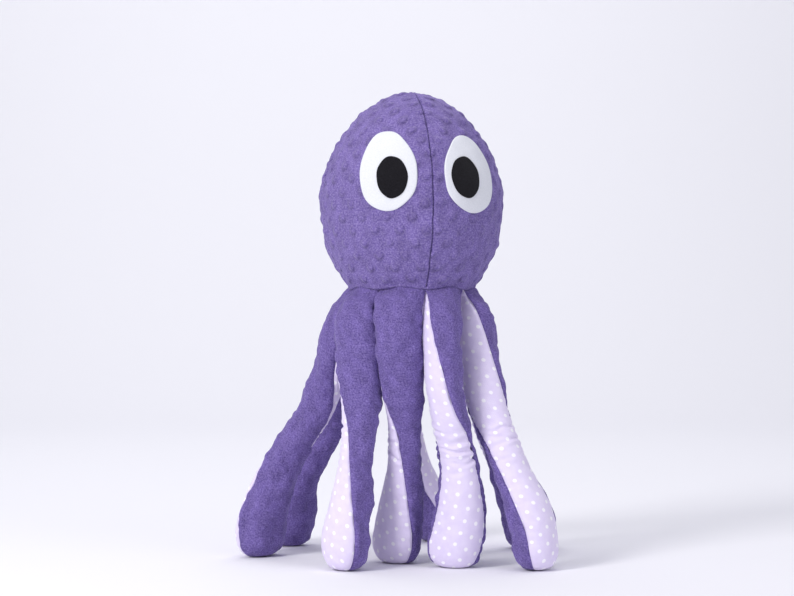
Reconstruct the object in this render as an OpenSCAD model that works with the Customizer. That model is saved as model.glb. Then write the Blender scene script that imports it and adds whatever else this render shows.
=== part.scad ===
// Stuffed octopus toy: a dimpled plush head on eight long stuffed tentacles.
// Each tentacle has a plush outer panel and a printed cotton inner panel sewn edge to edge,
// and it bends at the neck seam and at a crease about half way down.
// Millimetres. The floor is z = 0, the front seam of the face looks along -Y.

/* [Head] */
// Radius of the head at its widest
head_radius = 93; // [80:1:110]
// Height of the crown above the floor
head_top = 480; // [440:1:520]
// Height of the widest ring of the head
head_waist = 373; // [350:1:390]
// Height of the neck seam, where the head panels end
neck_height = 284; // [275:1:295]
// Radius of the head at the neck seam
neck_radius = 65.5; // [60:0.5:75]
// Gap between two neighbouring head panels at each sewn seam
head_seam_gap = 0.4; // [0.2:0.1:1]
// Thickness of the round cloth that closes the neck
base_cloth = 1.2; // [0.8:0.1:2]

/* [Eyes] */
// Angle of each eye from the front seam
eye_angle = 27.5; // [20:0.5:35]
// Height of the middle of each eye
eye_height = 397; // [380:1:410]
// Width of the white felt
eye_width = 62; // [50:1:70]
// Height of the white felt
eye_tall = 83; // [70:1:95]
// How much the white felt narrows towards its top
eye_taper = 0.13; // [0:0.01:0.3]
// Lean of each eye, its top towards the front seam
eye_lean = 4; // [0:0.5:12]
// Width of the black felt pupil
pupil_width = 31; // [24:1:40]
// Height of the black felt pupil
pupil_tall = 43; // [34:1:52]
// How far the pupil sits towards the front seam
pupil_in = 3; // [0:0.5:8]
// How far the pupil sits below the middle of the white
pupil_down = 5; // [0:0.5:10]
// Thickness of the felt
felt = 2; // [1:0.1:3]

/* [Tentacles] */
// Radius of the ring of neck seams
root_radius = 60; // [56:0.5:64]
// Height of the neck seams
root_height = 280.5; // [275:0.5:282]
// Heights of the route points, from the neck seam to the tip
route_height = [280.5, 250, 205, 160, 125, 80, 40, -2]; // [-5:0.5:285]
// Distance of each route point out from the head's axis, one row per tentacle
route_out = [
    [60, 64, 65, 63, 60, 56, 49, 39],
    [60, 65, 72, 81, 94, 113, 127, 131],
    [60, 70, 88, 112, 131, 156, 176, 187],
    [60, 71, 98, 131, 153, 176, 193, 203],
    [60, 70, 100, 134, 155, 183, 198, 206],
    [60, 69, 85, 103, 125, 150, 164, 169],
    [60, 67, 66, 66, 69, 73, 78, 82],
    [60, 63, 51, 36, 24, 7, -4, -10]
]; // [-20:1:220]
// Distance of each route point sideways, counter-clockwise from above
route_side = [
    [0, -8.5, -8, -1, 11, 20, 23, 15],
    [0, -4, -9, -13, -16, -18, -20, -22],
    [0, 6, 16, 24, 29, 32, 32, 35],
    [0, 8, 20, 28, 30, 23, 9, 4],
    [0, -1, 3, 6, 5, 18, 20, 20],
    [0, -4, -12, -22, -28, -32, -35, -36],
    [0, 1, 4, 6, 4, 1, -2, -5],
    [0, -3, -2.5, -1, -3, -7, -14, -21]
]; // [-40:1:40]
// Turn of the cotton side along each tentacle, 0 when it faces the head's axis
route_turn = [
    [0, 33, 62, 92, 131, 142, 144, 144],
    [0, 27, 55, 94, 130, 152, 162, 168],
    [0, -20, -52, -85, -105, -115, -120, -120],
    [0, 10, 30, 60, 85, 100, 110, 115],
    [0, 38, 85, 120, 140, 150, 155, 160],
    [0, 0, 15, 60, 95, 125, 138, 143],
    [0, 15, 55, 85, 115, 142, 163, 171],
    [0, 5, 20, 55, 90, 118, 138, 150]
]; // [-180:1:180]
// Half the width between the two seams at each route point
half_width = [20, 21, 21.2, 19.4, 17.8, 22, 27.5, 26.5]; // [10:0.1:30]
// Half the stuffed thickness at each route point
half_thick = [2, 18.5, 18.6, 17, 15.5, 19.5, 22.5, 21]; // [1:0.1:24]
// Length of the rounded tip
tip_length = 29; // [12:1:30]
// Thickness of the panel cloth
cloth = 1.2; // [0.8:0.1:2]
// Gap between the two panels at their seams, and between cloth and stuffing
cloth_gap = 0.3; // [0.1:0.1:0.6]
// Bare length each side of the crease, in route steps
crease_clear = 0.27; // [0.2:0.01:0.4]

/* [Placement] */
// The head's axis from the middle of the toy's outline, along X
axis_x = -7.3; // [-20:0.1:20]
// The head's axis from the middle of the toy's outline, along Y
axis_y = -58.7; // [-80:0.1:0]

/* [Hidden] */
$fn = 120;

plush_colour = [0.36, 0.28, 0.58];
cotton_colour = [0.82, 0.75, 0.93];
white_felt = [0.94, 0.94, 0.96];
black_felt = [0.05, 0.05, 0.06];
filling_colour = [0.95, 0.95, 0.93];

// Side profile of the head, as parts of its radius and heights above and below the waist
rise = head_top - head_waist;
drop = head_waist - neck_height;
head_profile = [
    [0, head_top], [0.17, 0.985], [0.34, 0.925], [0.55, 0.8], [0.73, 0.62], [0.87, 0.43],
    [0.96, 0.22], [1, 0], [0.985, -0.27], [0.945, -0.52], [0.865, -0.72], [0.785, -0.88]
];
head_points = concat(
    [for (p = head_profile) p[0] == 0 ? p
        : [p[0] * head_radius, head_waist + p[1] * (p[1] > 0 ? rise : drop)]],
    [[neck_radius, neck_height]]
);
profile_steps = 3;
head_curve = [for (k = [0 : profile_steps * (len(head_points) - 1)])
    spline(head_points, k / profile_steps)];

leg_count = 8;
first_leg_angle = 22.5;
leg_spacing = 360 / leg_count;
crease_step = 4;
last_step = 7;
last_step_length = 42;
tip_start = last_step - tip_length / last_step_length;
arc_steps = 6;
upper_steps = [0, 0.25, 0.55, 0.9, 1.35, 1.85, 2.4, 2.9, 3.35, crease_step - crease_clear];
lower_steps = [crease_step + crease_clear, 4.6, 4.95, 5.3, 5.65, 6, tip_start];
tip_angles = [24, 48, 68, 84];
cone_point_gap = 0.4;

// Smooth curve through a list of numbers or points, by step number
function spline(p, u) =
    let (n = len(p) - 1, i = min(floor(u), n - 1), t = u - i,
         a = p[max(i - 1, 0)], b = p[i], c = p[i + 1], d = p[min(i + 2, n)])
    0.5 * (2 * b + (c - a) * t + (2 * a - 5 * b + 4 * c - d) * t * t
        + (3 * b - a - 3 * c + d) * t * t * t);

function unit(v) = v / norm(v);

// Angle of a tentacle round the head from the front seam, counter-clockwise from above
function leg_angle(n) = first_leg_angle + (n - 1) * leg_spacing;

function leg_centre(n, u) =
    let (a = leg_angle(n), out = spline(route_out[n - 1], u), side = spline(route_side[n - 1], u))
    [out * sin(a) + side * cos(a), -out * cos(a) + side * sin(a), spline(route_height, u)];

// Direction along the route; the flat seam end stays level under the neck
function leg_along(n, u) =
    let (v = unit(leg_centre(n, min(u + 0.02, last_step)) - leg_centre(n, max(u - 0.02, 0))))
    u < 1 ? unit(u * v + (1 - u) * [0, 0, -1]) : v;

// Direction that the cotton side faces, square to the route
function leg_facing(n, u) =
    let (a = leg_angle(n) + 180 + spline(route_turn[n - 1], u), f = [sin(a), -cos(a), 0],
         t = leg_along(n, u))
    unit(f - (f * t) * t);

// Half thickness: it swells quickly from the flat neck seam
function thick_at(u) =
    u < 1 ? half_thick[0] + (half_thick[1] - half_thick[0]) * sin(90 * u) : spline(half_thick, u);

// One arc of the section at a step: side 1 is plush, side -1 is cotton, lift parts the panels
function arc_points(n, u, wide, thick, side, lift, floor_z) =
    let (c = leg_centre(n, u), f = leg_facing(n, u), w = cross(leg_along(n, u), f))
    [for (k = [0 : arc_steps])
        let (q = 180 * k / arc_steps,
             p = c + w * wide * cos(q) - f * side * (thick * sin(q) + lift))
        [p[0], p[1], max(p[2], floor_z)]];

// Arc of a layer that lies inset below the surface, on the body or on the rounded tip
function body_arc(n, u, inset, side, lift) =
    arc_points(n, u, spline(half_width, u) - inset, max(thick_at(u) - inset, cloth_gap), side,
        lift, inset);

function tip_arc(n, q, inset, side, lift) =
    let (u = last_step - (tip_length - (tip_length - inset) * sin(q)) / last_step_length)
    arc_points(n, u, (spline(half_width, u) - inset) * cos(q), (thick_at(u) - inset) * cos(q),
        side, lift, inset);

function layer_arcs(n, steps, tips, inset, side, lift) =
    concat([for (u = steps) body_arc(n, u, inset, side, lift)],
        [for (q = tips) tip_arc(n, q, inset, side, lift)]);

function reversed(p) = [for (i = [len(p) - 1 : -1 : 0]) p[i]];

// Closed loops joined in order, with flat strips or fans at both ends
module cloth_strip(outside, inside) {
    m = len(outside[0]);
    loops = [for (k = [0 : len(outside) - 1]) concat(outside[k], reversed(inside[k]))];
    loop_faces = [for (k = [0 : len(loops) - 2], i = [0 : 2 * m - 1])
        let (a = k * 2 * m + i, b = k * 2 * m + (i + 1) % (2 * m)) each
        [[a, b + 2 * m, b], [a, a + 2 * m, b + 2 * m]]];
    last = (len(loops) - 1) * 2 * m;
    end_faces = [for (i = [0 : m - 2]) let (j = 2 * m - 1 - i) each [
        [i, j - 1, j], [i, i + 1, j - 1],
        [last + i, last + j, last + j - 1], [last + i, last + j - 1, last + i + 1]]];
    polyhedron([for (l = loops) each l], concat(loop_faces, end_faces));
}

module filled_tube(loops, start_point, end_point) {
    m = len(loops[0]);
    count = len(loops);
    loop_faces = [for (k = [0 : count - 2], i = [0 : m - 1])
        let (a = k * m + i, b = k * m + (i + 1) % m) each [[a, a + m, b], [b, a + m, b + m]]];
    first_faces = [for (i = [0 : m - 1]) [count * m, i, (i + 1) % m]];
    last_faces = [for (i = [0 : m - 1])
        [count * m + 1, (count - 1) * m + (i + 1) % m, (count - 1) * m + i]];
    polyhedron(concat([for (l = loops) each l], [start_point, end_point]),
        concat(loop_faces, first_faces, last_faces));
}

module placed() {
    translate([axis_x, axis_y, 0]) children();
}

module leg_panel(n, steps, tips, side) {
    placed() cloth_strip(layer_arcs(n, steps, tips, 0, side, cloth_gap / 2),
        layer_arcs(n, steps, tips, cloth, side, cloth_gap / 2));
}

module leg_filling(n, steps, tips, start_point, end_point) {
    inset = cloth + cloth_gap;
    plush_side = layer_arcs(n, steps, tips, inset, 1, 0);
    cotton_side = layer_arcs(n, steps, tips, inset, -1, 0);
    loops = [for (k = [0 : len(plush_side) - 1]) concat(plush_side[k],
        [for (i = [arc_steps - 1 : -1 : 1]) cotton_side[k][i]])];
    placed() filled_tube(loops, start_point, end_point);
}

module leg_outer_upper(n) color(plush_colour) leg_panel(n, upper_steps, [], 1);
module leg_outer_lower(n) color(plush_colour) leg_panel(n, lower_steps, tip_angles, 1);
module leg_inner_upper(n) color(cotton_colour) mirror_faces(n, upper_steps, []);
module leg_inner_lower(n) color(cotton_colour) mirror_faces(n, lower_steps, tip_angles);

// The cotton panel runs the other way round, so its outside and inside swap places
module mirror_faces(n, steps, tips) {
    placed() cloth_strip(layer_arcs(n, steps, tips, cloth, -1, cloth_gap / 2),
        layer_arcs(n, steps, tips, 0, -1, cloth_gap / 2));
}

module leg_stuffing_upper(n) color(filling_colour)
    leg_filling(n, upper_steps, [], leg_centre(n, 0),
        leg_centre(n, crease_step) - cone_point_gap * leg_along(n, crease_step));

module leg_stuffing_lower(n) color(filling_colour)
    leg_filling(n, lower_steps, tip_angles,
        leg_centre(n, crease_step) + cone_point_gap * leg_along(n, crease_step),
        let (c = leg_centre(n, last_step)) [c[0], c[1], max(c[2], cloth + cloth_gap)]);

module shell_profile(grow, thick) {
    outer = [for (p = head_curve) [max(p[0] + grow * (p[0] > 0 ? 1 : 0), 0),
        p[1] + grow * max(0, (p[1] - head_waist) / rise)]];
    inner = [for (p = outer) [max(p[0] - thick, 0),
        p[1] - thick * max(0, (p[1] - head_waist) / rise)]];
    polygon(concat(outer, reversed(inner)));
}

// A quarter of the head's cloth shell, between two seams
module head_gore(turn) {
    placed() intersection() {
        rotate([0, 0, turn]) rotate_extrude(angle = 90) shell_profile(0, cloth);
        rotate([0, 0, turn]) translate([head_seam_gap / 2, head_seam_gap / 2, 0])
            cube([2 * head_radius, 2 * head_radius, 2 * head_top]);
    }
}

module head_front_left() color(plush_colour) head_gore(180);
module head_front_right() color(plush_colour) head_gore(270);
module head_back_left() color(plush_colour) head_gore(90);
module head_back_right() color(plush_colour) head_gore(0);

module head_base() color(cotton_colour)
    placed() translate([0, 0, neck_height]) cylinder(h = base_cloth, r = neck_radius - 2 * cloth);

module head_stuffing() color(filling_colour) {
    inset = cloth + cloth_gap;
    bottom = neck_height + base_cloth + cloth_gap;
    placed() rotate_extrude() intersection() {
        polygon(concat([for (p = head_curve) [max(p[0] - inset, 0),
            p[1] - inset * max(0, (p[1] - head_waist) / rise)]], [[0, neck_height]]));
        translate([0, bottom]) square([head_radius, head_top]);
    }
}

// Egg outline, narrower at its top
egg_points = 40;
module egg(wide, tall, taper) {
    polygon([for (k = [0 : egg_points - 1]) let (q = 360 * k / egg_points)
        [wide / 2 * cos(q) * (1 - taper * sin(q)), tall / 2 * sin(q)]]);
}

// A felt piece that lies on the head: the outline cut through a shell that hugs the head
module felt_piece(side, lift) {
    placed() intersection() {
        rotate_extrude() shell_profile(lift + felt, felt);
        rotate([0, 0, side * eye_angle]) translate([0, 0, eye_height]) rotate([90, 0, 0])
            linear_extrude(height = 2 * head_radius) rotate(side * eye_lean) children();
    }
}

felt_lift = 0.3;
module eye_white(side) color(white_felt)
    felt_piece(side, felt_lift) egg(eye_width, eye_tall, eye_taper);
module pupil(side) color(black_felt)
    felt_piece(side, 2 * felt_lift + felt) translate([-side * pupil_in, -pupil_down])
        egg(pupil_width, pupil_tall, 0);

module eye_white_left() eye_white(-1);
module eye_white_right() eye_white(1);
module pupil_left() pupil(-1);
module pupil_right() pupil(1);

module leg_1_outer_upper() leg_outer_upper(1);
module leg_1_outer_lower() leg_outer_lower(1);
module leg_1_inner_upper() leg_inner_upper(1);
module leg_1_inner_lower() leg_inner_lower(1);
module leg_1_stuffing_upper() leg_stuffing_upper(1);
module leg_1_stuffing_lower() leg_stuffing_lower(1);
module leg_2_outer_upper() leg_outer_upper(2);
module leg_2_outer_lower() leg_outer_lower(2);
module leg_2_inner_upper() leg_inner_upper(2);
module leg_2_inner_lower() leg_inner_lower(2);
module leg_2_stuffing_upper() leg_stuffing_upper(2);
module leg_2_stuffing_lower() leg_stuffing_lower(2);
module leg_3_outer_upper() leg_outer_upper(3);
module leg_3_outer_lower() leg_outer_lower(3);
module leg_3_inner_upper() leg_inner_upper(3);
module leg_3_inner_lower() leg_inner_lower(3);
module leg_3_stuffing_upper() leg_stuffing_upper(3);
module leg_3_stuffing_lower() leg_stuffing_lower(3);
module leg_4_outer_upper() leg_outer_upper(4);
module leg_4_outer_lower() leg_outer_lower(4);
module leg_4_inner_upper() leg_inner_upper(4);
module leg_4_inner_lower() leg_inner_lower(4);
module leg_4_stuffing_upper() leg_stuffing_upper(4);
module leg_4_stuffing_lower() leg_stuffing_lower(4);
module leg_5_outer_upper() leg_outer_upper(5);
module leg_5_outer_lower() leg_outer_lower(5);
module leg_5_inner_upper() leg_inner_upper(5);
module leg_5_inner_lower() leg_inner_lower(5);
module leg_5_stuffing_upper() leg_stuffing_upper(5);
module leg_5_stuffing_lower() leg_stuffing_lower(5);
module leg_6_outer_upper() leg_outer_upper(6);
module leg_6_outer_lower() leg_outer_lower(6);
module leg_6_inner_upper() leg_inner_upper(6);
module leg_6_inner_lower() leg_inner_lower(6);
module leg_6_stuffing_upper() leg_stuffing_upper(6);
module leg_6_stuffing_lower() leg_stuffing_lower(6);
module leg_7_outer_upper() leg_outer_upper(7);
module leg_7_outer_lower() leg_outer_lower(7);
module leg_7_inner_upper() leg_inner_upper(7);
module leg_7_inner_lower() leg_inner_lower(7);
module leg_7_stuffing_upper() leg_stuffing_upper(7);
module leg_7_stuffing_lower() leg_stuffing_lower(7);
module leg_8_outer_upper() leg_outer_upper(8);
module leg_8_outer_lower() leg_outer_lower(8);
module leg_8_inner_upper() leg_inner_upper(8);
module leg_8_inner_lower() leg_inner_lower(8);
module leg_8_stuffing_upper() leg_stuffing_upper(8);
module leg_8_stuffing_lower() leg_stuffing_lower(8);

head_front_left();
head_front_right();
head_back_left();
head_back_right();
head_base();
head_stuffing();
eye_white_left();
eye_white_right();
pupil_left();
pupil_right();
leg_1_outer_upper();
leg_1_outer_lower();
leg_1_inner_upper();
leg_1_inner_lower();
leg_1_stuffing_upper();
leg_1_stuffing_lower();
leg_2_outer_upper();
leg_2_outer_lower();
leg_2_inner_upper();
leg_2_inner_lower();
leg_2_stuffing_upper();
leg_2_stuffing_lower();
leg_3_outer_upper();
leg_3_outer_lower();
leg_3_inner_upper();
leg_3_inner_lower();
leg_3_stuffing_upper();
leg_3_stuffing_lower();
leg_4_outer_upper();
leg_4_outer_lower();
leg_4_inner_upper();
leg_4_inner_lower();
leg_4_stuffing_upper();
leg_4_stuffing_lower();
leg_5_outer_upper();
leg_5_outer_lower();
leg_5_inner_upper();
leg_5_inner_lower();
leg_5_stuffing_upper();
leg_5_stuffing_lower();
leg_6_outer_upper();
leg_6_outer_lower();
leg_6_inner_upper();
leg_6_inner_lower();
leg_6_stuffing_upper();
leg_6_stuffing_lower();
leg_7_outer_upper();
leg_7_outer_lower();
leg_7_inner_upper();
leg_7_inner_lower();
leg_7_stuffing_upper();
leg_7_stuffing_lower();
leg_8_outer_upper();
leg_8_outer_lower();
leg_8_inner_upper();
leg_8_inner_lower();
leg_8_stuffing_upper();
leg_8_stuffing_lower();
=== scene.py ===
import math
import bpy
import numpy as np
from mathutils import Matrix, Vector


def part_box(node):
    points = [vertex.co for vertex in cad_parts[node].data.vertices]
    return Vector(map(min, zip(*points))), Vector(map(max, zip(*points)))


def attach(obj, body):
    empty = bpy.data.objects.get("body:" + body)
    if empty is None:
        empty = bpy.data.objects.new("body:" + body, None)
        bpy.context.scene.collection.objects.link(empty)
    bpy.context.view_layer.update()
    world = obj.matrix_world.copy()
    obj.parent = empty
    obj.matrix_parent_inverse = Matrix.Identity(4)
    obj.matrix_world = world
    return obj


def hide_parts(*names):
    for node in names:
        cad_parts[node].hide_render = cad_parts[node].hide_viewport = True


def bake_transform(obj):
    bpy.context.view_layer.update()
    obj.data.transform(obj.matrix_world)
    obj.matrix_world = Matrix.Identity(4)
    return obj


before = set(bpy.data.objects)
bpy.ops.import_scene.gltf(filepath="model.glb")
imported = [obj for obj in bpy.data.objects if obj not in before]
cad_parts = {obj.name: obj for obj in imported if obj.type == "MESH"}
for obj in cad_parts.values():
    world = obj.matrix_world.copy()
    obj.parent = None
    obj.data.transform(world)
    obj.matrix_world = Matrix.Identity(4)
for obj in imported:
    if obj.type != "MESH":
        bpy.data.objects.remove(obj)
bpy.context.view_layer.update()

# Camera: a long lens level with the tentacles' tops, a little to the left of the face.
head_low, head_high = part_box("head_stuffing")
HEAD_X, HEAD_Y = (head_low.x + head_high.x) / 2, (head_low.y + head_high.y) / 2
CAMERA_TURN = math.radians(-13)
CAMERA_AWAY, CAMERA_HEIGHT, CAMERA_LEFT = 2.04, 0.2713, 0.0148
camera = bpy.data.objects.new("camera", bpy.data.cameras.new("camera"))
camera.data.lens, camera.data.sensor_width = 90.7, 36
camera.location = (
    HEAD_X + CAMERA_AWAY * math.sin(CAMERA_TURN) - CAMERA_LEFT * math.cos(CAMERA_TURN),
    HEAD_Y - CAMERA_AWAY * math.cos(CAMERA_TURN) - CAMERA_LEFT * math.sin(CAMERA_TURN),
    CAMERA_HEIGHT,
)
camera.rotation_euler = (math.pi / 2, 0, CAMERA_TURN)
bpy.context.collection.objects.link(camera)
bpy.context.scene.camera = camera

# Head panels: four gores of purple dimple-dot plush, sewn edge to edge from the crown to the
# neck and filled hard with fibre. Each seam pulls into a groove, and the dots stand up as soft
# domes except where the eyes press on them.
MM = 0.001
HEAD_RADIUS, HEAD_TOP, HEAD_WAIST, NECK_HEIGHT, NECK_RADIUS = 93, 480, 373, 284, 65.5
HEAD_PROFILE = [
    (0, 1), (0.17, 0.985), (0.34, 0.925), (0.55, 0.8), (0.73, 0.62), (0.87, 0.43),
    (0.96, 0.22), (1, 0), (0.985, -0.27), (0.945, -0.52), (0.865, -0.72), (0.785, -0.88),
]
# each eye's turn from the front, height, width, length, lean and taper; no two are cut alike
EYES = {"left": (-29.2, 396, 58, 79.5, -9.5, 0.13), "right": (27.5, 393.5, 61, 77, 4.0, 0.14)}


def spline(points, at):
    """Smooth curve through a list of numbers or points, read at step numbers."""
    p = np.asarray(points, float)
    flat = p.ndim == 1
    p = p[:, None] if flat else p
    at = np.asarray(at, float)
    last = len(p) - 1
    i = np.clip(np.floor(at).astype(int), 0, last - 1)
    t = (at - i)[..., None]
    a, b, c, d = p[np.maximum(i - 1, 0)], p[i], p[i + 1], p[np.minimum(i + 2, last)]
    made = 0.5 * (2 * b + (c - a) * t + (2 * a - 5 * b + 4 * c - d) * t**2
                  + (3 * b - a - 3 * c + d) * t**3)
    return made[..., 0] if flat else made


def lumps(x, y, size, seed):
    """Smooth random height, mostly -1 to 1, with lumps about that many mm across."""
    dice = np.random.default_rng(seed)
    total = 0
    for _ in range(12):
        heading, phase = dice.uniform(0, 2 * math.pi, 2)
        pitch = size * dice.uniform(1.3, 2.6)
        total = total + np.sin(2 * math.pi / pitch * (x * math.cos(heading)
                                                      + y * math.sin(heading)) + phase)
    return total / 3.5


def fade(x, start, end):
    """0 before start, 1 after end, smooth between."""
    t = np.clip((x - start) / (end - start), 0, 1)
    return t * t * (3 - 2 * t)


def outward(skin, middle):
    """Unit normals of a grid of points, pointing away from its middle line."""
    n = np.cross(np.gradient(skin, axis=0), np.gradient(skin, axis=1))
    n /= np.maximum(np.linalg.norm(n, axis=-1, keepdims=True), 1e-9)
    return n * (1 if np.sum(n * (skin - middle)) > 0 else -1)


def cloth_piece(name, skin, normals, thick, x, y, material):
    """A panel of cloth with real thickness from a grid of points in mm. x and y are the flat
    cloth's own coordinates in mm, kept as a map so that prints and pile follow the cloth."""
    rows, cols = skin.shape[:2]
    count = rows * cols
    front = np.arange(count).reshape(rows, cols)
    back = front + count
    turned = np.sum(np.cross(skin[1, 0] - skin[0, 0], skin[0, 1] - skin[0, 0])
                    * normals[0, 0]) < 0

    def quads(a, b, c, d):
        q = np.stack([a.ravel(), b.ravel(), c.ravel(), d.ravel()], axis=1)
        return q[:, ::-1] if turned else q

    faces = np.concatenate([
        quads(front[:-1, :-1], front[1:, :-1], front[1:, 1:], front[:-1, 1:]),
        quads(back[:-1, :-1], back[:-1, 1:], back[1:, 1:], back[1:, :-1]),
        quads(front[0, :-1], front[0, 1:], back[0, 1:], back[0, :-1]),
        quads(front[-1, 1:], front[-1, :-1], back[-1, :-1], back[-1, 1:]),
        quads(front[1:, 0], front[:-1, 0], back[:-1, 0], back[1:, 0]),
        quads(front[:-1, -1], front[1:, -1], back[1:, -1], back[:-1, -1]),
    ])
    points = np.concatenate([skin.reshape(-1, 3), (skin - normals * thick).reshape(-1, 3)])
    mesh = bpy.data.meshes.new(name)
    mesh.from_pydata((points * MM).tolist(), [], faces.tolist())
    flat = np.stack([np.tile(x.ravel(), 2), np.tile(y.ravel(), 2)], axis=1) / 100
    cloth_map = mesh.uv_layers.new(name="cloth")
    cloth_map.data.foreach_set("uv", flat[faces.ravel()].astype(np.float32).ravel())
    mesh.polygons.foreach_set("use_smooth", [True] * len(faces))
    mesh.set_sharp_from_angle(angle=math.radians(60))
    mesh.materials.append(material)
    piece = bpy.data.objects.new(name, mesh)
    bpy.context.collection.objects.link(piece)
    return piece


def paint(hex_code):
    """sRGB hex to the linear colour that the sockets take."""
    parts = [int(hex_code[i:i + 2], 16) / 255 for i in (0, 2, 4)]
    return (*[c / 12.92 if c <= 0.04045 else ((c + 0.055) / 1.055) ** 2.4 for c in parts], 1)


def node(tree, kind, settings=None, **links):
    """Adds a node. Settings are its properties or input values; links feed its inputs."""
    made = tree.nodes.new("ShaderNode" + kind)
    for key, value in (settings or {}).items():
        if hasattr(made, key):
            setattr(made, key, value)
        else:
            made.inputs[key].default_value = value
    for key, source in links.items():
        place = int(key[1:]) if key[0] == "_" and key[1:].isdigit() else key.replace("_", " ")
        tree.links.new(source, made.inputs[place])
    return made


def plush(name, shade, light, dark, pile_lean, dot_shade):
    """Minky: knitted polyester with a dense 2 mm pile, sheared, then embossed with dots. It is
    matt in the pits and silvery along the fibre tips, so it has a strong sheen. The tufts are
    drawn 1.5 mm wide, coarser than the real 0.3 mm, so that they show. Each dot has painted shade
    in a darker crescent below it and a painted highlight on its top."""
    material = bpy.data.materials.new(name)
    material.use_nodes = True
    t = material.node_tree
    shader = t.nodes["Principled BSDF"]
    cloth = node(t, "UVMap", {"uv_map": "cloth"}).outputs[0]
    tufts = node(t, "TexNoise", {"Scale": 60.0, "Detail": 3.0, "Roughness": 0.62}, Vector=cloth)
    strokes = node(t, "Mapping", {"Rotation": (0, 0, pile_lean), "Scale": (1.0, 0.6, 1)},
                   Vector=cloth)
    brushed = node(t, "TexNoise", {"Scale": 9.0, "Detail": 3.0, "Roughness": 0.55},
                   Vector=strokes.outputs[0])
    speckle = node(t, "ValToRGB", Fac=tufts.outputs["Fac"])
    speckle.color_ramp.elements[0].position, speckle.color_ramp.elements[1].position = 0.36, 0.64
    speckle.color_ramp.elements[0].color = paint(dark)
    speckle.color_ramp.elements[1].color = paint(light)
    middle = speckle.color_ramp.elements.new(0.51)
    middle.color = paint(shade)
    patch = node(t, "MapRange", {"From Min": 0.3, "From Max": 0.7, "To Min": 0.82,
                                 "To Max": 1.16}, Value=brushed.outputs["Fac"])
    mixed = node(t, "Mix", {"data_type": "RGBA", "blend_type": "MULTIPLY"})
    mixed.inputs["Factor"].default_value = 1.0
    t.links.new(speckle.outputs[0], mixed.inputs["A"])
    t.links.new(patch.outputs[0], mixed.inputs["B"])
    # dots in rows 13 mm apart, each row moved half a pitch: a square grid of 18.4 mm cells
    # turned by 45 degrees
    lattice = node(t, "Mapping", {"Rotation": (0, 0, math.pi / 4), "Scale": (5.439, 5.439, 0)},
                   Vector=cloth)

    def near_dot(shift, reach_from, reach_to):
        moved = node(t, "VectorMath", {"operation": "ADD"}, _0=lattice.outputs[0])
        moved.inputs[1].default_value = (0.5 + shift[0], 0.5 + shift[1], 0)
        cell = node(t, "VectorMath", {"operation": "FRACTION"}, _0=moved.outputs[0])
        centred = node(t, "VectorMath", {"operation": "SUBTRACT"}, _0=cell.outputs[0])
        centred.inputs[1].default_value = (0.5, 0.5, 0)
        reach = node(t, "VectorMath", {"operation": "LENGTH"}, _0=centred.outputs[0])
        return node(t, "MapRange", {"interpolation_type": "SMOOTHSTEP", "From Min": reach_from,
                                    "From Max": reach_to, "To Min": 1.0, "To Max": 0.0},
                    Value=reach.outputs["Value"]).outputs[0]

    # painted shade and highlight round each dot: a darker crescent just below it and a lighter top
    crown, below = near_dot((0, 0), 0.1, 0.3), near_dot((-0.02, 0.1), 0.2, 0.36)
    around = node(t, "Math", {"operation": "SUBTRACT"}, _0=below, _1=crown)
    # noise that makes the painted crescents stronger or weaker from dot to dot
    crescent_noise = node(t, "TexNoise", {"Scale": 3.2, "Detail": 1.0}, Vector=cloth)
    crescent_strength = node(t, "MapRange", {"From Min": 0.35, "From Max": 0.6, "To Min": 0.25,
                                 "To Max": 1.15}, Value=crescent_noise.outputs["Fac"])
    painted_crescent_mask = node(t, "Math", {"operation": "MULTIPLY"}, _0=around.outputs[0], _1=crescent_strength.outputs[0])
    painted_dot_shading = node(t, "MapRange", {"From Min": -0.5, "From Max": 1.0, "To Min": 1 + dot_shade / 2,
                                 "To Max": 1 - dot_shade}, Value=painted_crescent_mask.outputs[0])
    # this multiply puts the dots' painted shade and highlight into the base colour
    turned = node(t, "Mix", {"data_type": "RGBA", "blend_type": "MULTIPLY"})
    turned.inputs["Factor"].default_value = 1.0
    t.links.new(mixed.outputs["Result"], turned.inputs["A"])
    t.links.new(painted_dot_shading.outputs[0], turned.inputs["B"])
    t.links.new(turned.outputs["Result"], shader.inputs["Base Color"])
    pile = node(t, "Bump", {"Strength": 0.8, "Distance": 0.0012}, Height=tufts.outputs["Fac"])
    nap = node(t, "Bump", {"Strength": 0.35, "Distance": 0.0012}, Height=brushed.outputs["Fac"],
               Normal=pile.outputs[0])
    raised = node(t, "Bump", {"Strength": 1.0, "Distance": 0.0055 * dot_shade}, Height=crown,
                  Normal=nap.outputs[0])
    t.links.new(raised.outputs[0], shader.inputs["Normal"])
    shader.inputs["Roughness"].default_value = 0.9
    shader.inputs["IOR"].default_value = 1.45
    shader.inputs["Specular IOR Level"].default_value = 0.15
    shader.inputs["Sheen Weight"].default_value = 0.5
    shader.inputs["Sheen Roughness"].default_value = 0.36
    shader.inputs["Sheen Tint"].default_value = paint("c9bdf0")
    return material


head_plush = plush("head plush, raised dots", "7a6ba6", "9082b9", "625395", 0.3, 0.22)


def head_curve(steps):
    """Radius and height of the head's side, evenly spaced along the cloth from the neck up."""
    rise, drop = HEAD_TOP - HEAD_WAIST, HEAD_WAIST - NECK_HEIGHT
    points = [(r * HEAD_RADIUS, HEAD_WAIST + h * (rise if h > 0 else drop))
              for r, h in HEAD_PROFILE] + [(NECK_RADIUS, NECK_HEIGHT)]
    fine = spline(points, np.linspace(0, len(points) - 1, 900))[::-1]
    fine = np.concatenate([[(63.0, 280.8), (64.6, 281.2), (65.3, 282.4)], fine])
    run = np.concatenate([[0], np.cumsum(np.linalg.norm(np.diff(fine, axis=0), axis=1))])
    at = np.linspace(0, run[-1], steps)
    return np.interp(at, run, fine[:, 0]), np.interp(at, run, fine[:, 1]), at


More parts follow.
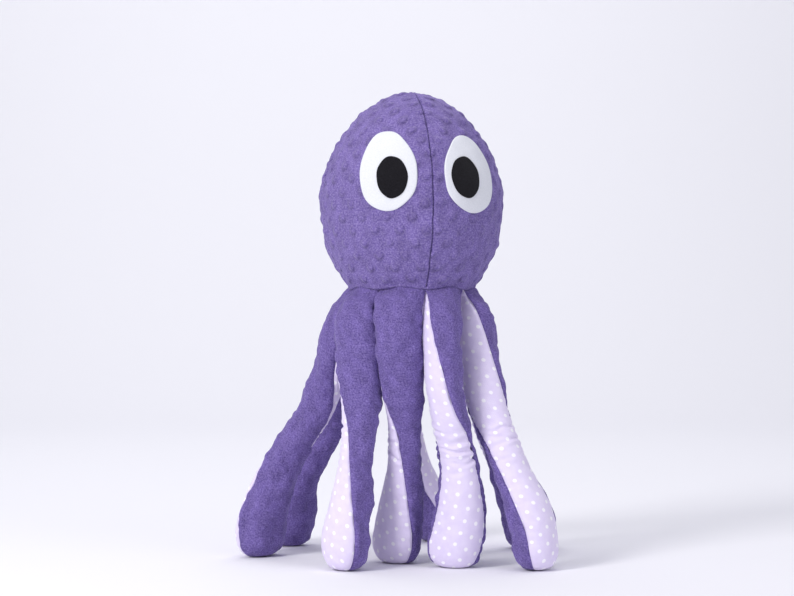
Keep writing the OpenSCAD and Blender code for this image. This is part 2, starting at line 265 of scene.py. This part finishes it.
def eye_reach(side, angle, radius, height):
    """How far a point of the head is out from the middle of an eye: 1 on the felt's edge."""
    turn, middle, wide, tall, lean, taper = EYES[side]
    a, lean = np.radians(angle - turn), math.radians(-lean)
    x, y = radius * np.sin(a), height - middle
    x, y = x * math.cos(lean) + y * math.sin(lean), -x * math.sin(lean) + y * math.cos(lean)
    up = np.clip(y / (tall / 2), -1.4, 1.4)
    near = np.hypot(x / (wide / 2 * (1 - taper * up)), up)
    return np.where(np.abs(a) < 1.2, near, 9)


DOT_PITCH, DOT_RADIUS, DOT_RISE = 26.0, 6.3, 1.5
SEAM_DIP, SEAM_REACH = 2.0, 0.85
RIDGE_PITCH, RIDGE_HEIGHT, RIDGE_REACH = 13, 1.9, 9
PANEL_CLOTH = 1.2


def neck_scallop(angle):
    """The neck seam rises over each of the eight tentacle tops and dips between them."""
    return 1.3 * np.cos(8 * np.radians(angle - 22.5))


def head_panel(name, first_angle, seed):
    """One gore, a quarter of the head, starting at that angle from the front seam."""
    radius, height, along = head_curve(178)
    # columns a third of a millimetre apart by the seams, 1.8 mm apart between them
    even = np.linspace(-1, 1, 96)
    cols = 45 + 44.9 * np.sign(even) * (1 - (1 - np.abs(even)) ** 1.6)
    angle = first_angle + cols
    r, a = np.meshgrid(radius, angle, indexing="ij")
    z = np.repeat(height[:, None], len(cols), axis=1)
    y = np.repeat(along[:, None], len(cols), axis=1)
    x = np.radians(a - first_angle - 45) * r
    skin = np.stack([r * np.sin(np.radians(a)), -r * np.cos(np.radians(a)), z], axis=-1)
    middle = np.zeros_like(skin)
    middle[..., 2] = z
    n = outward(skin, middle)
    seam = (np.radians(45) * r - np.abs(x))
    # rows of raised dots, every second row moved half a pitch, each dot a little off its place
    rise = np.zeros_like(x)
    dice = np.random.default_rng(seed)
    for row in range(int(along[-1] / (DOT_PITCH / 2)) + 2):
        for col in range(-4, 5):
            px = col * DOT_PITCH + (row % 2) * DOT_PITCH / 2 + dice.normal(0, 0.6)
            py = row * DOT_PITCH / 2 + dice.normal(0, 0.6)
            # close to a seam the dots are dragged out level into short ridges
            here = np.interp(py, along, radius)
            drag = math.exp(-(max(0, math.radians(45) * here - abs(px)) / 11) ** 2)
            size = DOT_RADIUS * dice.uniform(0.9, 1.1)
            d = np.hypot((x - px) / (1 + 0.7 * drag), (y - py) / (1 - 0.35 * drag)) / size
            dome = np.where(d < 1, (0.5 + 0.5 * np.cos(math.pi * np.minimum(d, 1))) ** 0.7, 0)
            rim = np.exp(-((d - 1.1) / 0.22) ** 2)
            rise += DOT_RISE * dice.uniform(0.65, 1.1) * dome - 0.28 * rim
    pressed = np.ones_like(x)
    for side in ("left", "right"):
        pressed *= fade(eye_reach(side, a, r, z), 1.0, 1.16)
    h = rise * (0.1 + 0.9 * pressed) * (0.85 + 0.3 * lumps(x, y, 45, seed + 4))
    # the seam's groove, with the cloth bridging into it in short level folds
    h -= SEAM_DIP * np.exp(-(seam / SEAM_REACH) ** 2)
    folds = np.sin(2 * math.pi * y / RIDGE_PITCH + 1.6 * lumps(x * 0, y, 20, seed + 1))
    # the cloth is drawn tightest between the eyes
    taut = 0.25 + 0.75 * np.exp(-((z - EYES["left"][1]) / 42) ** 2)
    h += (RIDGE_HEIGHT * taut * folds * np.exp(-seam / RIDGE_REACH)
          * fade(seam, 0.3, 3) * pressed)
    h += 0.6 * lumps(x, y, 22, seed + 2) + 0.2 * lumps(x, y, 7, seed + 3)
    h *= fade(y, 0, 6)
    skin = skin + n * h[..., None]
    skin[..., 2] += neck_scallop(a) * (1 - fade(y, 2, 22))
    skin[..., 0] += HEAD_X / MM
    skin[..., 1] += HEAD_Y / MM
    piece = cloth_piece(name, skin, n, PANEL_CLOTH, x, y, head_plush)
    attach(piece, "head")
    return piece


for number, (corner, first_angle) in enumerate(
        [("front_right", 0), ("back_right", 90), ("back_left", 180), ("front_left", 270)]):
    panel = head_panel(corner + "_head_panel", first_angle - 360 * (first_angle > 180),
                       31 + 10 * number)
    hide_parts("head_" + corner)
    if corner == "front_left":
        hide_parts("head_stuffing")

# Eyes: white wool felt eggs with black felt pupils on them, cut from felt 1 mm thick and glued
# down flat, so the edge stands clear of the pile all round.


def felt(name, shade, fibre, sheen):
    """Pressed wool felt: matted fibres with no weave, fully matt. The matting is drawn about
    1.2 mm wide."""
    material = bpy.data.materials.new(name)
    material.use_nodes = True
    t = material.node_tree
    shader = t.nodes["Principled BSDF"]
    cloth = node(t, "UVMap", {"uv_map": "cloth"}).outputs[0]
    matted = node(t, "TexNoise", {"Scale": 85.0, "Detail": 4.0, "Roughness": 0.7,
                                  "Distortion": 1.2}, Vector=cloth)
    tone = node(t, "ValToRGB", Fac=matted.outputs["Fac"])
    tone.color_ramp.elements[0].position, tone.color_ramp.elements[1].position = 0.32, 0.7
    tone.color_ramp.elements[0].color = paint(shade)
    tone.color_ramp.elements[1].color = paint(fibre)
    t.links.new(tone.outputs[0], shader.inputs["Base Color"])
    fuzz = node(t, "Bump", {"Strength": 0.35, "Distance": 0.0004}, Height=matted.outputs["Fac"])
    t.links.new(fuzz.outputs[0], shader.inputs["Normal"])
    shader.inputs["Roughness"].default_value = 0.95
    shader.inputs["IOR"].default_value = 1.5
    shader.inputs["Specular IOR Level"].default_value = 0.1
    shader.inputs["Sheen Weight"].default_value = sheen
    shader.inputs["Sheen Roughness"].default_value = 0.5
    return material


white_felt = felt("white wool felt", "d6d9e0", "e6e8ee", 0.08)
black_felt = felt("black wool felt", "08070a", "201f25", 0.12)


def felt_cut(name, side, wide, tall, taper, across, down, lift, thick, material):
    """An egg of felt laid on the head, across and down in mm from the middle of that eye."""
    turn, middle, _, _, lean, _ = EYES[side]
    turn, lean = math.radians(turn), math.radians(-lean)
    rings, spokes = 22, 120
    radius, height, _ = head_curve(400)
    out = np.concatenate([[0.02], np.linspace(0.08, 0.97, rings - 4), [0.985, 0.996, 1.0]])
    q = np.linspace(0, 2 * math.pi, spokes, endpoint=False)
    s, q = np.meshgrid(out, q, indexing="ij")
    # cut by hand with shears, so the outline wanders by half a millimetre
    by_hand = 1 + 0.012 * np.sin(3 * q + turn * 9) + 0.008 * np.sin(7 * q + down)
    x = wide / 2 * np.cos(q) * (1 - taper * np.sin(q)) * s * by_hand + across
    y = tall / 2 * np.sin(q) * s * by_hand - down
    px, py = x * math.cos(lean) - y * math.sin(lean), x * math.sin(lean) + y * math.cos(lean)
    z = middle + py

    def lies_at(above, z, px):
        r = np.interp(z, height, radius)
        slope = (np.interp(z + 1, height, radius) - np.interp(z - 1, height, radius)) / 2
        lean_up = 1 / np.sqrt(1 + slope**2)
        r, z = r + above * lean_up, z - above * slope * lean_up
        depth = np.sqrt(np.maximum(r**2 - px**2, 0))
        return np.stack([HEAD_X / MM + depth * math.sin(turn) + px * math.cos(turn),
                         HEAD_Y / MM - depth * math.cos(turn) + px * math.sin(turn), z], axis=-1)

    wavy = 0.3 * lumps(px, py, 14, 7 if side == "left" else 9)
    round_edge = thick * 0.45 * fade(s, 0.975, 1.0) ** 2
    top = lies_at(lift + thick + wavy - round_edge, z, px)
    under = lies_at(lift + wavy - 0.2, z, px)
    count = rings * spokes
    grid = np.arange(count).reshape(rings, spokes)
    after = np.roll(grid, -1, axis=1)

    def quads(a, b, c, d):
        return np.stack([a.ravel(), b.ravel(), c.ravel(), d.ravel()], axis=1).tolist()

    faces = quads(grid[:-1], grid[1:], after[1:], after[:-1])
    faces += quads(after[:-1] + count, after[1:] + count, grid[1:] + count, grid[:-1] + count)
    faces += quads(grid[-1], grid[-1] + count, after[-1] + count, after[-1])
    faces += [grid[0].tolist(), (grid[0] + count).tolist()[::-1]]
    points = np.concatenate([top.reshape(-1, 3), under.reshape(-1, 3)])
    mesh = bpy.data.meshes.new(name)
    mesh.from_pydata((points * MM).tolist(), [], faces)
    flat = np.stack([np.tile(x.ravel(), 2), np.tile(y.ravel(), 2)], axis=1) / 100
    corners = np.array([v for f in faces for v in f])
    mesh.uv_layers.new(name="cloth").data.foreach_set(
        "uv", flat[corners].astype(np.float32).ravel())
    mesh.polygons.foreach_set("use_smooth", [True] * len(faces))
    mesh.set_sharp_from_angle(angle=math.radians(55))
    mesh.materials.append(material)
    piece = bpy.data.objects.new(name, mesh)
    bpy.context.collection.objects.link(piece)
    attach(piece, "head")
    return piece


for side, pupil in (("left", (31, 41, 4.8, 8.0)), ("right", (33, 40.5, -8.3, 4.5))):
    wide, tall, across, down = pupil
    white = felt_cut(side + "_eye_white", side, EYES[side][2], EYES[side][3], EYES[side][5],
                     0, 0, 0.6, 1.1, white_felt)
    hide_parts("eye_white_" + side)
    black = felt_cut(side + "_pupil", side, wide, tall, 0, across, down, 1.9, 0.9, black_felt)
    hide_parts("pupil_" + side)

# Tentacles: each is a tube of two long panels, plush outside and printed cotton inside, sewn
# right sides together, turned and filled. The seams pinch in, the cotton puckers along them
# and folds across at the bend, and the flat top is caught in the neck seam.
ROUTE_HEIGHT = [280.5, 250, 205, 160, 125, 80, 40, -2]
# each tentacle's middle at those heights: mm out from the neck's middle, mm sideways, twist
ROUTE_OUT = [
    [60, 64, 65, 63, 60, 56, 49, 39],
    [60, 65, 72, 81, 94, 113, 127, 131],
    [60, 70, 88, 112, 131, 156, 176, 187],
    [60, 71, 98, 131, 153, 176, 193, 203],
    [60, 70, 100, 134, 155, 183, 198, 206],
    [60, 69, 85, 103, 125, 150, 164, 169],
    [60, 67, 66, 66, 69, 73, 78, 82],
    [60, 63, 51, 36, 24, 7, -4, -10],
]
ROUTE_SIDE = [
    [0, -8.5, -8, -1, 11, 20, 23, 15],
    [0, -4, -9, -13, -16, -18, -20, -22],
    [0, 6, 16, 24, 29, 32, 32, 35],
    [0, 8, 20, 28, 30, 23, 9, 4],
    [0, -1, 3, 6, 5, 18, 20, 20],
    [0, -4, -12, -22, -28, -32, -35, -36],
    [0, 1, 4, 6, 4, 1, -2, -5],
    [0, -3, -2.5, -1, -3, -7, -14, -21],
]
ROUTE_TURN = [
    [0, 33, 62, 92, 131, 142, 144, 144],
    [0, 27, 55, 94, 130, 152, 162, 168],
    [0, -20, -52, -85, -105, -115, -120, -120],
    [0, 10, 30, 60, 85, 100, 110, 115],
    [0, 38, 85, 120, 140, 150, 155, 160],
    [0, 0, 15, 60, 95, 125, 138, 143],
    [0, 15, 55, 85, 115, 142, 163, 171],
    [0, 5, 20, 55, 90, 118, 138, 150],
]
# the tube's half width at each step, and how much more two of the tentacles have
HALF_WIDTH = [23.3, 22.2, 21.5, 19.6, 17.9, 22.2, 27.7, 26.7]
FULLER = {7: [0, 2.2, 2.6, 1, 0, 0, 0, 0], 8: [0, 1.2, 1.6, 1, 0, 0, 0, 0]}
HALF_THICK = [2, 18.5, 18.6, 17, 15.6, 19.6, 22.7, 21.2]
TIP_LENGTH, LAST_STEP, LAST_STEP_LENGTH, CREASE_STEP = 29, 7, 42, 4


def unit(v):
    return v / np.linalg.norm(v, axis=-1, keepdims=True)


def leg_centre(number, u):
    """Points on a tentacle's middle line in mm."""
    a = math.radians(22.5 + 45 * (number - 1))
    out, side = spline(ROUTE_OUT[number - 1], u), spline(ROUTE_SIDE[number - 1], u)
    return np.stack([HEAD_X / MM + out * math.sin(a) + side * math.cos(a),
                     HEAD_Y / MM - out * math.cos(a) + side * math.sin(a),
                     spline(ROUTE_HEIGHT, u)], axis=-1)


def leg_along(number, u):
    """Directions down the middle line, straight down at the neck seam."""
    u = np.asarray(u, float)
    v = unit(leg_centre(number, np.minimum(u + 0.2, LAST_STEP))
             - leg_centre(number, np.maximum(u - 0.2, 0)))
    mix = np.clip(u, 0, 1)[..., None]
    return unit(mix * v + (1 - mix) * np.array([0.0, 0, -1]))


def leg_facing(number, u):
    """Directions that the middle of the cotton faces."""
    a = np.radians(22.5 + 45 * (number - 1) + 180 + spline(ROUTE_TURN[number - 1], u))
    f = np.stack([np.sin(a), -np.cos(a), np.zeros_like(a)], axis=-1)
    t = leg_along(number, u)
    return unit(f - np.sum(f * t, axis=-1, keepdims=True) * t)


def printed_cotton(name, turn):
    """Quilting cotton, plain weave of about 0.3 mm threads, printed lilac with 4 mm white pin
    dots on a 12.5 mm square grid. The weave is drawn at 0.9 mm so that it can show."""
    material = bpy.data.materials.new(name)
    material.use_nodes = True
    t = material.node_tree
    shader = t.nodes["Principled BSDF"]
    cloth = node(t, "UVMap", {"uv_map": "cloth"}).outputs[0]
    grid = node(t, "Mapping", {"Rotation": (0, 0, turn), "Scale": (8.0, 8.0, 1)}, Vector=cloth)
    wobble = node(t, "TexNoise", {"Scale": 3.0, "Detail": 1.0}, Vector=grid.outputs[0])
    cell = node(t, "VectorMath", {"operation": "FRACTION"}, _0=grid.outputs[0])
    centred = node(t, "VectorMath", {"operation": "SUBTRACT"}, _0=cell.outputs[0])
    centred.inputs[1].default_value = (0.5, 0.5, 0)
    flat = node(t, "VectorMath", {"operation": "MULTIPLY"}, _0=centred.outputs[0])
    flat.inputs[1].default_value = (1, 1, 0)
    reach = node(t, "VectorMath", {"operation": "LENGTH"}, _0=flat.outputs[0])
    # the ink's edge wanders a little, as a screen print's does
    ragged = node(t, "Math", {"operation": "MULTIPLY_ADD"}, _0=wobble.outputs["Fac"],
                  _2=reach.outputs["Value"])
    ragged.inputs[1].default_value = 0.05
    dot = node(t, "MapRange", {"From Min": 0.165, "From Max": 0.205, "To Min": 1.0,
                               "To Max": 0.0}, Value=ragged.outputs[0])
    ink = node(t, "TexNoise", {"Scale": 12.0, "Detail": 3.0}, Vector=cloth)
    ground = node(t, "ValToRGB", Fac=ink.outputs["Fac"])
    ground.color_ramp.elements[0].position, ground.color_ramp.elements[1].position = 0.3, 0.7
    ground.color_ramp.elements[0].color = paint("e0d5f3")
    ground.color_ramp.elements[1].color = paint("e6ddf6")
    printed = node(t, "Mix", {"data_type": "RGBA"}, Factor=dot.outputs[0])
    t.links.new(ground.outputs[0], printed.inputs["A"])
    printed.inputs["B"].default_value = paint("f8f6fd")
    t.links.new(printed.outputs["Result"], shader.inputs["Base Color"])
    warp = node(t, "TexWave", {"bands_direction": "X", "Scale": 17.0, "Distortion": 0.6,
                               "Detail": 1.0}, Vector=cloth)
    weft = node(t, "TexWave", {"bands_direction": "Y", "Scale": 17.0, "Distortion": 0.6,
                               "Detail": 1.0}, Vector=cloth)
    weave = node(t, "Math", {"operation": "MULTIPLY"}, _0=warp.outputs["Fac"],
                 _1=weft.outputs["Fac"])
    threads = node(t, "Bump", {"Strength": 0.3, "Distance": 0.0002}, Height=weave.outputs[0])
    slubs = node(t, "Bump", {"Strength": 0.25, "Distance": 0.0006}, Height=ink.outputs["Fac"],
                 Normal=threads.outputs[0])
    t.links.new(slubs.outputs[0], shader.inputs["Normal"])
    shader.inputs["Roughness"].default_value = 0.82
    shader.inputs["IOR"].default_value = 1.5
    shader.inputs["Specular IOR Level"].default_value = 0.25
    shader.inputs["Sheen Weight"].default_value = 0.12
    shader.inputs["Sheen Roughness"].default_value = 0.5
    return material


leg_plush = plush("tentacle plush, brushed down", "7364a3", "8778b4", "5c4d8a", 0.1, 0.08)
cotton_cuts = [printed_cotton("pin-dot cotton, cut %d" % (k + 1), math.radians(lean))
               for k, lean in enumerate((16, -12, 33))]

# steps along a tentacle: even lengths of cloth, then closer rings round the tip
LEG_STEPS = np.linspace(0, LAST_STEP - TIP_LENGTH / LAST_STEP_LENGTH, 190)
TIP_RINGS = np.radians(np.linspace(3, 89.3, 30))
LEG_ACROSS = 40
PLUSH_SIDE, COTTON_SIDE = 1, -1
LEG_CLOTH, FLOOR_PRESS, NECK_TOP_RADIUS = 1.1, 2.6, 60
PINCH_STEP, PINCH_EDGE = 4.3, -1
# how far round towards the cotton each tentacle's seams lie, in degrees
SEAM_ROUND, USUAL_ROUND = {1: 17, 7: 1, 8: 10}, 7


def fold(d, depth, width):
    """A narrow valley across the cloth with the cloth rolled up along both its edges."""
    return depth * (0.55 * np.exp(-((np.abs(d) - 2.1 * width) / (1.2 * width)) ** 2)
                    - np.exp(-(d / width) ** 2))


def leg_skin(number, side):
    """Grid of points of one panel, its normals, and the flat cloth's coordinates."""
    tip_u = LAST_STEP - TIP_LENGTH * (1 - np.sin(TIP_RINGS)) / LAST_STEP_LENGTH
    u = np.concatenate([LEG_STEPS, tip_u])
    taper = np.concatenate([np.ones_like(LEG_STEPS), np.cos(TIP_RINGS)])
    thick = np.where(u < 1, HALF_THICK[0] + (HALF_THICK[1] - HALF_THICK[0])
                     * np.sin(np.clip(u, 0, 1) * math.pi / 2), spline(HALF_THICK, u)) * taper
    wide = (spline(HALF_WIDTH, u) + spline(FULLER.get(number, [0] * 8), u)) * taper
    centre, facing = leg_centre(number, u), leg_facing(number, u)
    across = np.cross(leg_along(number, u), facing)
    # the seams lie a little round on the cotton side, so plush shows along both its edges
    wrap = math.radians(SEAM_ROUND.get(number, USUAL_ROUND)) * side
    even = np.linspace(-1, 1, LEG_ACROSS)
    q = math.pi / 2 + (math.pi / 2 + wrap) * np.sign(even) * (1 - (1 - np.abs(even)) ** 1.25)
    skin = (centre[:, None] + across[:, None] * (wide[:, None] * np.cos(q))[..., None]
            - facing[:, None] * side * (thick[:, None] * np.sin(q))[..., None])
    # the tops are bent round the neck and reach up into its seam, which rises and dips
    round_neck = 1 - fade(u, 0.1, 1.1)[:, None]
    root = math.radians(22.5 + 45 * (number - 1))
    bow = wide[:, None] * np.cos(q) * round_neck / NECK_TOP_RADIUS
    inward = np.array([-math.sin(root), math.cos(root), 0])
    skin += inward * ((1 - np.cos(bow)) * NECK_TOP_RADIUS)[..., None]
    turn = np.degrees(np.cos(q) * wide[0] / NECK_TOP_RADIUS) + 22.5
    top = (1 - fade(u, 0, 0.35))[:, None]
    skin[..., 2] += top * (2.0 + neck_scallop(turn)[None])
    run = np.linalg.norm(np.diff(skin, axis=1), axis=-1)
    x = np.concatenate([np.zeros((len(u), 1)), np.cumsum(run, axis=1)], axis=1)
    x -= x[:, -1:] / 2
    step = np.linalg.norm(np.diff(skin[:, LEG_ACROSS // 2], axis=0), axis=-1)
    y = np.concatenate([[0], np.cumsum(step)])[:, None] + 0 * x
    return skin, outward(skin, centre[:, None]), x, y, u[:, None] + 0 * x


def leg_panel(number, side):
    """One panel with its relief, its placement baked into the mesh."""
    skin, n, x, y, u = leg_skin(number, side)
    seed = 100 * number + 7 * side
    dice = np.random.default_rng(seed + 11)
    edge = np.abs(x[:, -1:])
    seam = edge - np.abs(x)
    room = np.clip(edge / 14, 0, 1)
    bend = np.interp(CREASE_STEP, u[:, 0], y[:, 0])
    h = -1.3 * room * np.exp(-(seam / 1.5) ** 2)
    if side == PLUSH_SIDE:
        h += room * (0.7 * np.exp(-((seam - 4.5) / 3.2) ** 2) + 1.1 * lumps(x, y, 26, seed)
                     + 0.8 * lumps(x, y, 11, seed + 1) + 0.14 * lumps(x, y, 4.5, seed + 2))
        # the dots are rubbed flat here and leave only faint rings and dents
        for row in range(24):
            for col in (-1, 0, 1):
                px = col * DOT_PITCH + (row % 2) * DOT_PITCH / 2 + dice.normal(0, 0.8)
                py = row * DOT_PITCH / 2 + dice.normal(0, 0.8)
                d = np.hypot(x - px, y - py)
                h += room * dice.uniform(0, 1.2) * (0.8 * np.exp(-(d / 3.2) ** 2)
                                                    - 0.6 * np.exp(-((d - 5) / 1.5) ** 2))
        # soft creases across the upper half
        for _ in range(9):
            at, middle = dice.uniform(14, bend + 15), dice.uniform(-20, 20)
            reach = dice.uniform(6, 13)
            d = y - at - 0.15 * (x - middle) * dice.normal(0, 1)
            h += (fold(d, dice.uniform(0.3, 0.9), dice.uniform(1.5, 2.4))
                  * np.exp(-((x - middle) / reach) ** 2) * room)
    else:
        h += room * (0.6 * lumps(x, y, 30, seed) + 0.16 * lumps(x, y, 8, seed + 1))
        # puckers every 8.5 mm where the stitching draws the cotton up
        pucker = np.sin(2 * math.pi * y / 8.5 + 2.4 * lumps(0 * x, y, 18, seed + 2)
                        + 1.5 * np.sign(x))
        h += 0.5 * room * pucker * np.exp(-seam / 5.5) * fade(seam, 0.4, 2.5)
        # sharper folds across the bend
        for _ in range(11):
            at = bend + dice.normal(-4, 13)
            middle, reach, slant = dice.uniform(-16, 16), dice.uniform(7, 16), dice.normal(0, 0.16)
            d = y - at - slant * (x - middle) - 1.0 * lumps(x, y, 12, seed + 5)
            h += (fold(d, dice.uniform(0.5, 1.5), dice.uniform(1.3, 2.2))
                  * np.exp(-((x - middle) / reach) ** 2) * room)
    if number == 1:
        # the front tentacle is sharply pinched at one seam, a little below its bend
        at = np.interp(PINCH_STEP, u[:, 0], y[:, 0])
        by_seam = np.exp(-((edge - PINCH_EDGE * side * x) / 11) ** 2)
        h += by_seam * (fold(y - at - 0.25 * seam, 2.4, 1.8)
                        + fold(y - at + 9, 1.0, 1.6) + fold(y - at + 17, 0.8, 1.6))
    # the top is eased into the neck seam in little gathers
    h += 0.55 * np.sin(2 * math.pi * x / 5.5 + 2 * lumps(x, y, 15, seed + 8)) * np.exp(
        -((y - 4) / 5) ** 2)
    h *= fade(y, 0, 4) * (0.3 + 0.7 * fade(skin[..., 2], -2, 8))
    skin = skin + n * h[..., None]
    # the filled tip rests on the floor and is pressed flat where it touches, rounded beside it
    skin[..., 2] = FLOOR_PRESS * (np.logaddexp(0, skin[..., 2] / FLOOR_PRESS) - 0.22)
    skin[..., 2] = np.maximum(skin[..., 2], 0.0)
    material = leg_plush if side == PLUSH_SIDE else cotton_cuts[number % len(cotton_cuts)]
    name = "tentacle_%d_%s" % (number, "plush_outer" if side == PLUSH_SIDE else "cotton_inner")
    piece = cloth_piece(name, skin, n, LEG_CLOTH, x, y, material)
    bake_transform(piece)
    return piece


for number in range(1, 9):
    leg = "leg_%d_" % number
    outer = leg_panel(number, PLUSH_SIDE)
    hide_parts(leg + "outer_upper", leg + "outer_lower",
                leg + "stuffing_upper", leg + "stuffing_lower")
    inner = leg_panel(number, COTTON_SIDE)
    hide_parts(leg + "inner_upper", leg + "inner_lower")

# Neck cloth: a round of the printed cotton that closes the head between the tentacle tops. It
# is caught in the same seam all round, so it is drawn up into small gathers at its edge.
NECK_CLOTH_RADIUS = 64.0


def neck_cloth():
    rings, spokes = 40, 181
    out = np.linspace(0.5, NECK_CLOTH_RADIUS, rings)
    q = np.linspace(0, 2 * math.pi, spokes)
    r, q = np.meshgrid(out, q, indexing="ij")
    gathers = np.sin(32 * q + 1.2 * np.sin(5 * q)) * fade(r, 38, 60) * 0.5
    z = 284.6 - 1.3 * (1 - (r / NECK_CLOTH_RADIUS) ** 2) + gathers
    skin = np.stack([HEAD_X / MM + r * np.sin(q), HEAD_Y / MM - r * np.cos(q), z], axis=-1)
    above = skin.copy()
    above[..., 2] += 50
    return cloth_piece("neck_cloth", skin, outward(skin, above), 1.0, r * np.sin(q),
                       r * np.cos(q), cotton_cuts[0])


base = neck_cloth()
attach(base, "head")
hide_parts("head_base")

# Room: one pale sheet that runs along the floor and sweeps up behind, and soft studio light,
# the strongest from the left and a little above the face.


def sweep():
    bend_radius, back, front, wide = 1.6, 2.2, 3.2, 6.0
    line = [(-front, 0.0), (-1.5, 0.0), (0.0, 0.0), (back * 0.5, 0.0)]
    line += [(back + bend_radius * math.sin(math.radians(q)),
              bend_radius * (1 - math.cos(math.radians(q)))) for q in range(0, 91, 6)]
    line += [(back + bend_radius, 4.5)]
    points, faces = [], []
    c, s = math.cos(CAMERA_TURN), math.sin(CAMERA_TURN)
    for d, z in line:
        for across in (-wide, -wide / 3, wide / 3, wide):
            points.append((HEAD_X + across * c - d * s, HEAD_Y + across * s + d * c, z))
    for i in range(len(line) - 1):
        for j in range(3):
            faces.append((4 * i + j, 4 * i + j + 1, 4 * i + j + 5, 4 * i + j + 4))
    mesh = bpy.data.meshes.new("paper_sweep")
    mesh.from_pydata(points, [], faces)
    mesh.polygons.foreach_set("use_smooth", [True] * len(faces))
    made = bpy.data.objects.new("paper_sweep", mesh)
    bpy.context.collection.objects.link(made)
    return made


paper = bpy.data.materials.new("matt backdrop paper")
paper.use_nodes = True
paper_shader = paper.node_tree.nodes["Principled BSDF"]
paper_shader.inputs["Roughness"].default_value = 1.0
paper_shader.inputs["Specular IOR Level"].default_value = 0.0
tooth = node(paper.node_tree, "TexNoise", {"Scale": 1.2, "Detail": 2.0})
tooth_tone = node(paper.node_tree, "ValToRGB", Fac=tooth.outputs["Fac"])
tooth_tone.color_ramp.elements[0].color = paint("f3f3f8")
tooth_tone.color_ramp.elements[1].color = paint("f6f6fa")
paper.node_tree.links.new(tooth_tone.outputs[0], paper_shader.inputs["Base Color"])
floor = sweep()
floor.data.materials.append(paper)


def soft_light(name, across, up, towards, size, power, tint):
    """A square softbox, placed to the camera's right, up and towards the camera."""
    data = bpy.data.lights.new(name, "AREA")
    data.size, data.energy, data.color = size, power, paint(tint)[:3]
    lamp = bpy.data.objects.new(name, data)
    c, s = math.cos(CAMERA_TURN), math.sin(CAMERA_TURN)
    lamp.location = (HEAD_X + across * c + towards * s, HEAD_Y + across * s - towards * c, up)
    aim = lamp.location.copy()
    aim.x, aim.y, aim.z = HEAD_X - aim.x, HEAD_Y - aim.y, 0.28 - aim.z
    lamp.rotation_euler = aim.to_track_quat("-Z", "Y").to_euler()
    bpy.context.collection.objects.link(lamp)


soft_light("key softbox", -1.5, 1.35, 1.65, 0.7, 38, "fffdfb")
soft_light("fill softbox", 1.8, 0.9, 1.6, 1.3, 11.5, "f8f7ff")
soft_light("top softbox", 0.0, 2.2, 0.3, 1.4, 11, "fbfaff")
soft_light("backdrop softbox", -0.3, 3.2, -1.2, 2.4, 53, "fcfcff")
bpy.data.objects["backdrop softbox"].rotation_euler = (math.radians(56), 0, CAMERA_TURN)
world = bpy.data.worlds.new("studio")
bpy.context.scene.world = world
world.use_nodes = True
world.node_tree.nodes["Background"].inputs["Color"].default_value = paint("f3f3fb")
world.node_tree.nodes["Background"].inputs["Strength"].default_value = 0.4
bpy.context.scene.view_settings.view_transform = "Standard"
